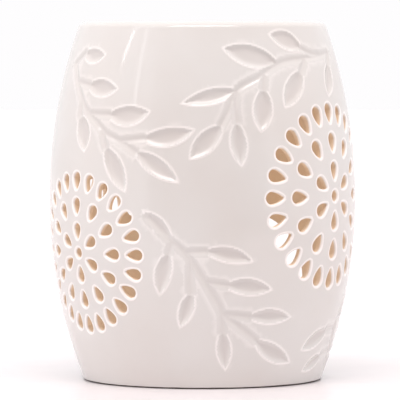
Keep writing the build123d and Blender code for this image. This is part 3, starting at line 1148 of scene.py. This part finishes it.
def glaze_skin_group():
    """Thickness: slow noise. Speck: sparse iron specks. Height: a faint ripple and pinholes."""
    group, given, out = new_group(
        "glaze skin", {"Ripple Size": 14.0, "Speck Amount": 0.4}, ("Thickness", "Speck", "Height"),
    )
    place = object_place(group)
    ripple = noise(group, place, math_node(group, "DIVIDE", 1 / MM, given["Ripple Size"]), 1.0)
    fine = math_node(group, "MULTIPLY", noise(group, place, 900.0), 0.04)
    cells = add_node(group, "ShaderNodeTexVoronoi", {"Vector": place, "Scale": 160.0}, feature="F1")
    pits = remap(group, cells.outputs["Distance"], (0.03, 0.07), (1.0, 0.0))
    rare = add_node(group, "ShaderNodeSeparateColor", {0: cells.outputs["Color"]})
    few = math_node(group, "GREATER_THAN", rare.outputs[0], 0.93)
    speck = math_node(group, "MULTIPLY", pits, few, given["Speck Amount"])
    raised = math_node(group, "ADD", ripple, fine)
    sunk = math_node(group, "SUBTRACT", raised, math_node(group, "MULTIPLY", speck, 0.3))
    group.links.new(noise(group, place, 32.0), out["Thickness"])
    group.links.new(speck, out["Speck"])
    group.links.new(sunk, out["Height"])
    return group


def clay_grain_group():
    """Mottle: soft patches. Grit: fine grains, which are the surface's height too."""
    group, given, out = new_group("clay grain", {"Grit Size": 0.5}, ("Mottle", "Grit"))
    place = object_place(group)
    scale = math_node(group, "DIVIDE", 1 / MM, given["Grit Size"])
    group.links.new(noise(group, place, 120.0, 3.0), out["Mottle"])
    group.links.new(noise(group, place, scale, 3.0), out["Grit"])
    return group


glaze_skin = glaze_skin_group()
clay_grain = clay_grain_group()
print("groups:", glaze_skin.name, "and", clay_grain.name)

# %% [markdown]
# ## The barrel's material
#
# White glaze outside, bare tan clay inside, and one soft line between them just inside each hole. The
# mesh carries how deep every point is, so the line follows the edges. The glaze is painted whitest
# where it rounds an edge or a ridge, a painted highlight, and painted a little darker in the pressed
# leaves, most so at their deepest, which is painted shade. The foot is wiped bare before firing, and the
# kiln shelf leaves it dark; that dark band is deepened as painted shade where the foot meets the table.
# The bare clay inside has a faint painted glow of its own colour, which brightens the dim inside.

# %% White glaze over tan clay
glaze_white = linear(253, 249, 247)
glaze_thin = linear(250, 244, 241)
iron_speck = linear(196, 176, 160)
# painted highlight: ridges and lips are painted full white, brighter than the plain glaze
painted_highlight_white = (1.0, 1.0, 1.0)
tint_plain = (0.775, 0.78, 0.772)
# painted shade: the pressed leaves are painted darker than the plain glaze, darkest at their deepest
painted_shade_leaf = (0.755, 0.752, 0.742)
painted_shade_deep = (0.725, 0.715, 0.705)
tint_bowl = (0.76, 0.76, 0.75)
clay_light = linear(248, 232, 212)
clay_dark = linear(244, 222, 196)
clay_grit = linear(206, 166, 128)
# the foot's dark band: bare clay darkened by the kiln, deepened as painted shade where it meets the table
toasted_foot_and_shade = linear(74, 62, 56)
# strength of a painted glow on the bare clay inside
painted_glow_strength = 0.11


def glaze_colour(tree, skin, tint):
    """White, a shade warmer where the glaze is thin, multiplied by a tint and with its specks."""
    glaze = shades(tree, skin["Thickness"], ((0.35, glaze_thin), (0.65, glaze_white)))
    glaze = blend_colour(tree, 1.0, glaze, tint, "MULTIPLY")
    return blend_colour(tree, skin["Speck"], glaze, iron_speck)


def use_glaze_skin(tree, ripple_size, speck_amount):
    """The shared glaze skin, placed in a material with its own values."""
    inputs = {"Ripple Size": ripple_size, "Speck Amount": speck_amount}
    return add_node(tree, "ShaderNodeGroup", inputs, node_tree=glaze_skin).outputs


def barrel_material():
    """Glaze where the depth is under about half a millimetre, bare clay below that, and a dark foot: bare
    clay darkened by the kiln, deepened as painted shade.
    """
    material, tree, shader = new_material("white glaze over tan clay")
    skin = use_glaze_skin(tree, 16.0, 0.25)
    grain = add_node(tree, "ShaderNodeGroup", node_tree=clay_grain).outputs
    carried = [add_node(tree, "ShaderNodeAttribute", attribute_name=key) for key in barrel.keys]
    depth, press, edge = (node.outputs["Fac"] for node in carried)
    mottle = math_node(tree, "MULTIPLY", math_node(tree, "SUBTRACT", grain["Mottle"], 0.5), 0.5)
    bare = remap(tree, math_node(tree, "ADD", depth, mottle), (0.42, 0.9), smooth=True)
    place = remap(tree, press, (-1.0, 1.0))
    # painted highlight on ridges, painted shade in the leaves, growing with their depth
    tint = shades(tree, place, ((0.0, painted_highlight_white), (0.48, tint_plain), (0.8, painted_shade_leaf), (1.0, painted_shade_deep)))
    # points flagged as lips take the painted highlight too
    glaze = glaze_colour(tree, skin, blend_colour(tree, edge, tint, painted_highlight_white))
    clay = shades(tree, grain["Mottle"], ((0.3, clay_dark), (0.7, clay_light)))
    clay = blend_colour(tree, math_node(tree, "MULTIPLY", grain["Grit"], 0.15), clay, clay_grit)
    up = add_node(tree, "ShaderNodeSeparateXYZ", {0: object_place(tree)}).outputs[2]
    rise = math_node(tree, "MULTIPLY", up, 1 / MM)
    rise = math_node(tree, "ADD", rise, math_node(tree, "MULTIPLY", mottle, 0.6))
    # the dark foot band, with painted shade, ends 0.35 to 0.6 mm up
    toast_and_shade_band = remap(tree, rise, (0.6, 0.35), smooth=True)
    colour = blend_colour(tree, toast_and_shade_band, blend_colour(tree, bare, glaze, clay), toasted_foot_and_shade)
    # painted glow: the bare clay inside glows faintly in its own colour, more the deeper it lies
    painted_glow_colour = blend_colour(tree, remap(tree, depth, (0.6, 2.6)), (0, 0, 0), clay)
    tree.links.new(painted_glow_colour, shader.inputs["Emission Color"])
    shader.inputs["Emission Strength"].default_value = painted_glow_strength
    dull = math_node(tree, "MAXIMUM", bare, toast_and_shade_band)
    rough = remap(tree, dull, (0.0, 1.0), (0.09, 0.8))
    skin_height = math_node(tree, "MULTIPLY", skin["Height"], math_node(tree, "SUBTRACT", 1.0, dull))
    clay_height = math_node(tree, "MULTIPLY", grain["Grit"], dull, 0.6)
    relief_height = math_node(tree, "ADD", skin_height, clay_height)
    finish_shader(tree, shader, colour, rough, relief_height, 0.08 * MM)
    return material


finish_piece("glazed_barrel", barrel, barrel_material(), "burner", "burner_body")

# %% [markdown]
# ## The oil dish
#
# The dish is cast in one with a flat flange, and is glazed all over. It is turned like the barrel. Its
# sides are arcs that leave the bottom level, so oil and water run to the middle.

# %% The dish
dish_low, dish_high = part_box("oil_dish")
flange_radius = dish_high[0]
flange_top = dish_high[2]
dish_under = dish_low[2]
dish_wall = 2.6 * MM
neck_radius = seat_inner_radius - 0.5 * MM
bowl_radius = neck_radius - dish_wall
dish_bottom_radius = 13 * MM


def level_arc(start, end, count):
    """An arc that leaves its start level: radius = (across squared + up squared) / twice up."""
    across, up = np.subtract(end, start)
    radius = (across ** 2 + up ** 2) / (2 * up)
    turn = np.linspace(0, math.atan2(across, radius - up), count)
    return start + radius * joined(np.sin(turn), 1 - np.cos(turn))


inner_side = level_arc((dish_bottom_radius, dish_under + dish_wall), (bowl_radius, flange_top), 26)
outer_side = level_arc((dish_bottom_radius, dish_under), (neck_radius, seat_height), 22)[::-1]
flat_steps = np.linspace(0, dish_bottom_radius, 7)[:-1]
flange = rounded([
    inner_side[-4], (bowl_radius, flange_top), (flange_radius, flange_top), (flange_radius, seat_height),
    (neck_radius, seat_height),
], (1.0, 0.8, 0.4), 0.2)
dish = turned(np.vstack([
    joined(flat_steps, dish_under + dish_wall), inner_side[:-4], flange, outer_side[1:],
    joined(flat_steps[::-1], dish_under),
]), 160)


def dish_material():
    """The same white glaze, a shade deeper, because a bowl gathers light."""
    material, tree, shader = new_material("white dish glaze")
    skin = use_glaze_skin(tree, 9.0, 0.35)
    colour = glaze_colour(tree, skin, tint_bowl)
    rough = remap(tree, skin["Thickness"], (0.0, 1.0), (0.07, 0.15))
    finish_shader(tree, shader, colour, rough, skin["Height"], 0.1 * MM)
    return material


finish_piece("glazed_dish", dish, dish_material(), "dish", "oil_dish")

# %% [markdown]
# ## The tealight's cup
#
# The cup is drawn from thin aluminium foil. The pressing gathers the side into fine upright flutes
# and rolls the lip outwards. It is turned, and the flutes are a ripple of the radius that fades
# towards the lip and the base.

# %% The cup
cup_low, cup_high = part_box("tealight_cup")
lip_radius = cup_high[0]
cup_base, cup_top = cup_low[2], cup_high[2]
cup_base_radius = 18.0 * MM
cup_radius = 18.7 * MM
foil = 0.3 * MM
lip_height = 0.6 * MM
flutes = 60
flute_depth = 0.14 * MM
lip_under = cup_top - lip_height


def cup_ripple(turn, r, z):
    """Upright flutes: a cosine round the cup, fading at the base and under the lip."""
    rise = (z - cup_base) / (lip_under - cup_base)
    if r < cup_base_radius - 2 * foil or rise > 1:
        return 0 * turn
    fade = smoothstep(rise * 6) * smoothstep((1 - rise) * 6)
    return -flute_depth * fade * (0.5 - 0.5 * np.cos(flutes * turn))


def flared_side(inset, low, high):
    """The cup's side, inset from its outside, widening evenly between two heights."""
    rise = np.linspace(0.06, 0.96, 14)
    return joined(cup_base_radius - inset + (cup_radius - cup_base_radius) * rise, low + (high - low) * rise)


cup_floor = cup_base + foil
inside = flared_side(foil, cup_floor, cup_top)
outside = flared_side(0, cup_base, lip_under)[::-1]
inner_base = rounded([(2 * MM, cup_floor), (cup_base_radius - foil, cup_floor), inside[0]], [0.6], 0.2)
outer_base = rounded([outside[-1], (cup_base_radius, cup_base), (2 * MM, cup_base)], [0.6], 0.2)
rolled = rounded([
    (cup_radius - foil, cup_top - 2 * foil), (cup_radius - foil, cup_top), (lip_radius, cup_top),
    (lip_radius, lip_under), (cup_radius, lip_under), outside[0],
], (0.12, 0.28, 0.28, 0.1), 0.08)
cup = turned(np.vstack([
    [(0, cup_floor)], inner_base[:-1], inside, rolled[:-1], outside, outer_base[1:], [(0, cup_base)],
]), 360, ripple=cup_ripple)


def aluminium_material():
    """Thin drawn aluminium: bright and slightly satin, with fine upright draw lines and small dents."""
    material, tree, shader = new_material("drawn aluminium foil")
    place = object_place(tree)
    stretch = add_node(tree, "ShaderNodeMapping", {"Vector": place, "Scale": (1.0, 1.0, 0.08)})
    lines = noise(tree, stretch.outputs[0], 2600.0)
    dents = noise(tree, place, 300.0)
    tone = shades(tree, dents, ((0.3, linear(206, 206, 208)), (0.7, linear(230, 230, 231))))
    relief_height = math_node(tree, "ADD", dents, math_node(tree, "MULTIPLY", lines, 0.15))
    rough = remap(tree, lines, (0.0, 1.0), (0.2, 0.4))
    finish_shader(tree, shader, tone, rough, relief_height, 0.1 * MM, 0.8)
    shader.inputs["Metallic"].default_value = 1.0
    return material


finish_piece("foil_cup", cup, aluminium_material(), "tealight", "tealight_cup")

# %% [markdown]
# ## Wax
#
# Poured wax climbs a little where it touches the cup and the wick, and sinks between them as it
# cools. The surface is that curve, turned. Underneath it is hollow for the wick's steel foot.

# %% The wax
wax_low, wax_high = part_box("tealight_wax")
wax_edge, wax_top, wax_base = wax_high[0], wax_high[2], wax_low[2]
bore_radius = 0.8 * MM
foot_disc_radius = 8.1 * MM
foot_disc_room = 0.4 * MM
foot_neck_radius = 1.8 * MM
foot_neck_room = 3.3 * MM
sink = 0.55 * MM
climb = 1.3 * MM

r = np.concatenate([np.linspace(*span) for span in (
    (bore_radius, 4 * MM, 10), (4.8 * MM, wax_edge - 4 * MM, 14),
    (wax_edge - 3.5 * MM, wax_edge - 0.15 * MM, 12),
)])
dip = 1 - np.exp(-(r - bore_radius) / climb) - np.exp(-(wax_edge - r) / climb)
surface = joined(r, wax_top - sink * np.clip(dip, 0, 1))
wax_foot_radius = cup_base_radius - foil
disc_room_top, neck_room_top = wax_base + foot_disc_room, wax_base + foot_neck_room
wax_path = np.vstack([surface, [
    (wax_edge, wax_top - 0.1 * MM), (wax_edge - 0.1 * MM, wax_top - 4 * MM),
    (wax_foot_radius - 0.15 * MM, wax_base + 0.4 * MM), (wax_foot_radius - 0.5 * MM, wax_base),
    (foot_disc_radius, wax_base), (foot_disc_radius, disc_room_top), (foot_neck_radius, disc_room_top),
    (foot_neck_radius, neck_room_top), (bore_radius, neck_room_top),
]])


def wax_ripple(turn, r, z):
    """Slight unroundness of the cooled pool, nothing at the wick or the cup."""
    share = math.sin(math.pi * min(max((r - bore_radius) / (wax_edge - bore_radius), 0), 1))
    return 0.12 * MM * share * np.sin(3 * turn + 900 * r)


wax = turned(wax_path, 128, ripple=wax_ripple, hollow=True)

# paraffin: light passes a little way in, and the surface is satin and faintly mottled
wax_finish = grained_material(
    "white paraffin wax", (260.0, 3.0), (linear(238, 234, 226), linear(248, 246, 241)),
    (0.32, 0.5), (0.12 * MM, 0.7),
    {"Subsurface Weight": 0.3, "Subsurface Radius": (1.0, 0.85, 0.7), "Subsurface Scale": 1.5 * MM},
)
finish_piece("poured_wax", wax, wax_finish, "tealight", "tealight_wax")

# %% [markdown]
# ## Wick and its foot
#
# The wick is a braid of cotton. Two families of strands wind opposite ways, and where they cross the
# surface rises, so the radius is the larger of two winding waves. The foot is a stamped steel disc
# with a neck crimped on the wick.

# %% The wick and the sustainer
wick_low, wick_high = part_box("wick")
wick_radius = wick_high[0]
strand_pitch = 2.4 * MM
strand_relief = 0.24


def braid(turn, r, z):
    """Radius lost between strands: two waves that wind opposite ways, and the larger one shows."""
    wind = 2 * math.pi * z / strand_pitch
    crest = np.maximum(np.abs(np.cos(2 * turn + wind)), np.abs(np.cos(2 * turn - wind)))
    return -r * strand_relief * (1 - crest)


tip_height = 0.35 * MM
heights = np.arange(wick_high[2] - tip_height, wick_low[2], -0.12 * MM)
tip_turn = np.linspace(0.35, math.pi / 2, 5)
tip = joined(wick_radius * np.sin(tip_turn), wick_high[2] - tip_height * (1 - np.cos(tip_turn)))
wick = turned(np.vstack([
    [(0, wick_high[2])], tip, joined(wick_radius, heights[1:]),
    [(wick_radius, wick_low[2]), (0, wick_low[2])],
]), 40, ripple=braid)

foot_low, foot_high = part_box("wick_sustainer")
steel_neck_radius = 1.7 * MM
disc_top = foot_low[2] + 0.3 * MM


def crimp(turn, r, z):
    """Four flat pinches in the neck, where pliers closed it on the wick."""
    on_neck = foot_low[2] + 1 * MM < z < foot_high[2] - 0.6 * MM and r > 1.2 * MM
    return -0.18 * MM * np.cos(2 * turn) ** 2 if on_neck else 0 * turn


sustainer = turned(rounded([
    (bore_radius, foot_high[2] - MM), (bore_radius, foot_high[2]), (steel_neck_radius, foot_high[2]),
    (steel_neck_radius, disc_top), (foot_high[0], disc_top), (foot_high[0], foot_low[2]),
    (bore_radius, foot_low[2]), (bore_radius, foot_low[2] + MM),
], (0.15, 0.3, 0.5, 0.12, 0.12, 0.1), 0.1), 96, ripple=crimp, hollow=True)

# waxed cotton is off-white, fibrous and dull; stamped tin-plated steel is grey and scuffed
cotton = grained_material(
    "waxed cotton braid", (4200.0, 3.0), (linear(216, 208, 192), linear(242, 238, 228)),
    (0.6, 0.9), (0.05 * MM, 1.0), {},
)
steel = grained_material(
    "tin-plated steel", (1500.0, 4.0), (linear(150, 150, 152), linear(196, 196, 198)),
    (0.25, 0.5), (0.03 * MM, 0.6), {"Metallic": 1.0},
)
finish_piece("braided_wick", wick, cotton, "tealight", "wick")
finish_piece("crimped_sustainer", sustainer, steel, "tealight", "wick_sustainer")

# %% [markdown]
# ## The stage
#
# A white table whose front edge is near, because its soft edge is seen reflected in the glaze. It is
# turned with the camera, and so is the room of light round it.

# %% The table
photo_turn = 17.4 * DEG
table_front = 0.28
table_back = 4.0
table_half_width = 3.0


def in_photo_frame(x, y, z):
    """A point given to the camera's right and away from it, turned into the part's frame."""
    cosine, sine = unit(photo_turn)
    return x * cosine - y * sine, x * sine + y * cosine, z


table_finish, tree, shader = new_material("pale table")
grain = noise(tree, object_place(tree), 60.0)
tone = shades(tree, grain, ((0.3, linear(230, 225, 227)), (0.7, linear(233, 229, 230))))
tree.links.new(tone, shader.inputs["Base Color"])
shader.inputs["Roughness"].default_value = 0.3
mesh = bpy.data.meshes.new("table")
mesh.from_pydata([in_photo_frame(x, y, 0) for x, y in (
    (-table_half_width, -table_front), (table_half_width, -table_front),
    (table_half_width, table_back), (-table_half_width, table_back),
)], [], [(0, 1, 2, 3)])
mesh.materials.append(table_finish)
plane = bpy.data.objects.new("table", mesh)
bpy.context.scene.collection.objects.link(plane)
print("table front edge", table_front, "m before the middle")

# %% [markdown]
# ## Light
#
# The world's brightness is a function of direction alone, made of smooth steps of the height and of the
# angle from the camera's direction. The front is dim between two side boxes, which makes the pale sides
# and the darker middle of the barrel, and the flanks beyond them are brighter still. A strong box
# overhead shades the upper slopes of the leaves and lights the lower ones. A thin bright line at the
# left box's frame and a row of small lamps overhead show as the two sharp reflections in the
# photograph. The camera itself sees plain white past the table.

# %% The soft boxes as a world
left_edge = -41.6
right_edge = 49.0
side_light = 1.06
flank_edge = 75
flank_light = 1.32
back_edge = 112.0
back_light = 1.0
seen_light = 1.0
box_light = 6.6
box_low, box_high = 0.79, 0.95
box_half_turn = 48.0
room_light = 0.1
top_light = 1.04
top_start, top_end = 0.05, 0.8
ground_light = 0.2
ground_start, ground_end = -0.1, -0.2
frame_turn, frame_half_width = -57.0, 1.6
frame_middle, frame_half_height = 0.4, 0.3
frame_light = 2.5
lamp_slope, lamp_half_width = 1.9, 0.13
lamp_light = 20.0
lamps_left, lamps_right = -4.5, 1.0
lamp_spacing = 0.11
least_towards = 0.05

world = bpy.data.worlds.new("soft boxes")
bpy.context.scene.world = world
world.use_nodes = True
sky = world.node_tree


def maths(operation, *values):
    """An arithmetic step in the sky."""
    return math_node(sky, operation, *values)


def step(value, low, high):
    """A smooth step of a value, 0 at low and 1 at high, whichever of them is the larger."""
    return remap(sky, value, (low, high), smooth=True)


def past(value, edge, blur):
    """0 before an edge and 1 past it, blurred on both sides. A negative blur turns it round."""
    return step(value, edge - blur, edge + blur)


def hump(value, middle, half_width):
    """1 at the middle, fading to 0 at half a width on either side."""
    return step(maths("ABSOLUTE", maths("SUBTRACT", value, middle)), half_width, half_width * 0.4)


def mix(factor, first, second):
    """Two brightnesses mixed by a factor."""
    return add_node(sky, "ShaderNodeMix", {0: factor, 2: first, 3: second}).outputs[0]


direction = add_node(sky, "ShaderNodeTexCoord").outputs["Generated"]
direction = add_node(sky, "ShaderNodeMapping", {"Vector": direction, "Rotation": (0, 0, -photo_turn)})
right, away, up = add_node(sky, "ShaderNodeSeparateXYZ", {0: direction.outputs[0]}).outputs
towards = maths("MULTIPLY", away, -1.0)
degrees = maths("DEGREES", maths("ARCTAN2", right, towards))
turn = maths("ABSOLUTE", degrees)

sides = maths("MAXIMUM", past(degrees, left_edge, -3), past(degrees, right_edge, 5))
level = mix(sides, room_light, side_light)
level = mix(past(turn, flank_edge, 15), level, flank_light)
level = mix(past(turn, back_edge, 8), level, back_light)
level = mix(step(up, top_start, top_end), level, top_light)
box = maths("MULTIPLY", past(up, box_low, 0.01), past(up, box_high, -0.01), past(turn, box_half_turn, -3))
level = mix(box, level, box_light)
level = mix(step(up, ground_start, ground_end), level, ground_light)
frame_line = maths(
    "MULTIPLY", hump(degrees, frame_turn, frame_half_width), hump(up, frame_middle, frame_half_height),
    frame_light,
)
along = maths("DIVIDE", right, towards)
dashes = step(maths("SINE", maths("MULTIPLY", along, 2 * math.pi / lamp_spacing)), -0.2, 0.6)
lamps = maths(
    "MULTIPLY", hump(maths("DIVIDE", up, towards), lamp_slope, lamp_half_width),
    step(along, lamps_left, lamps_left + 0.5), step(along, lamps_right, lamps_right - 0.2),
    maths("GREATER_THAN", towards, least_towards), dashes, lamp_light,
)
level = maths("ADD", level, frame_line, lamps)
seen = add_node(sky, "ShaderNodeLightPath").outputs["Is Camera Ray"]
level = mix(seen, level, seen_light)
tint = blend_colour(sky, maths("MAXIMUM", sides, seen), linear(250, 242, 240), linear(254, 253, 254))
glow = add_node(sky, "ShaderNodeBackground", {"Color": tint, "Strength": level})
world_end = next(n for n in sky.nodes if n.type == "OUTPUT_WORLD")
sky.links.new(glow.outputs[0], world_end.inputs["Surface"])
print("world built with", len(sky.nodes), "nodes")

# %% [markdown]
# ## The camera
#
# The photograph is taken with a long lens from about 1.3 metres, level with the rim, so the rim is
# seen edge on. The camera's place is worked out in the photograph's own frame and turned.

# %% Camera
camera_distance = 1.322
camera_height = 0.120
camera_aim_across = -0.0008
camera_aim_height = 0.060
lens_over_width = 3943 / 400

camera_data = bpy.data.cameras.new("camera")
camera_data.sensor_width = 36
camera_data.lens = 36 * lens_over_width
camera = bpy.data.objects.new("camera", camera_data)
bpy.context.scene.collection.objects.link(camera)
camera.location = in_photo_frame(camera_aim_across, -camera_distance, camera_height)
aim = Vector(in_photo_frame(camera_aim_across, 0, camera_aim_height))
camera.rotation_euler = (aim - camera.location).to_track_quat("-Z", "Y").to_euler()
bpy.context.scene.camera = camera
bpy.context.scene.view_settings.view_transform = "Standard"
print("camera at", tuple(round(c, 3) for c in camera.location))
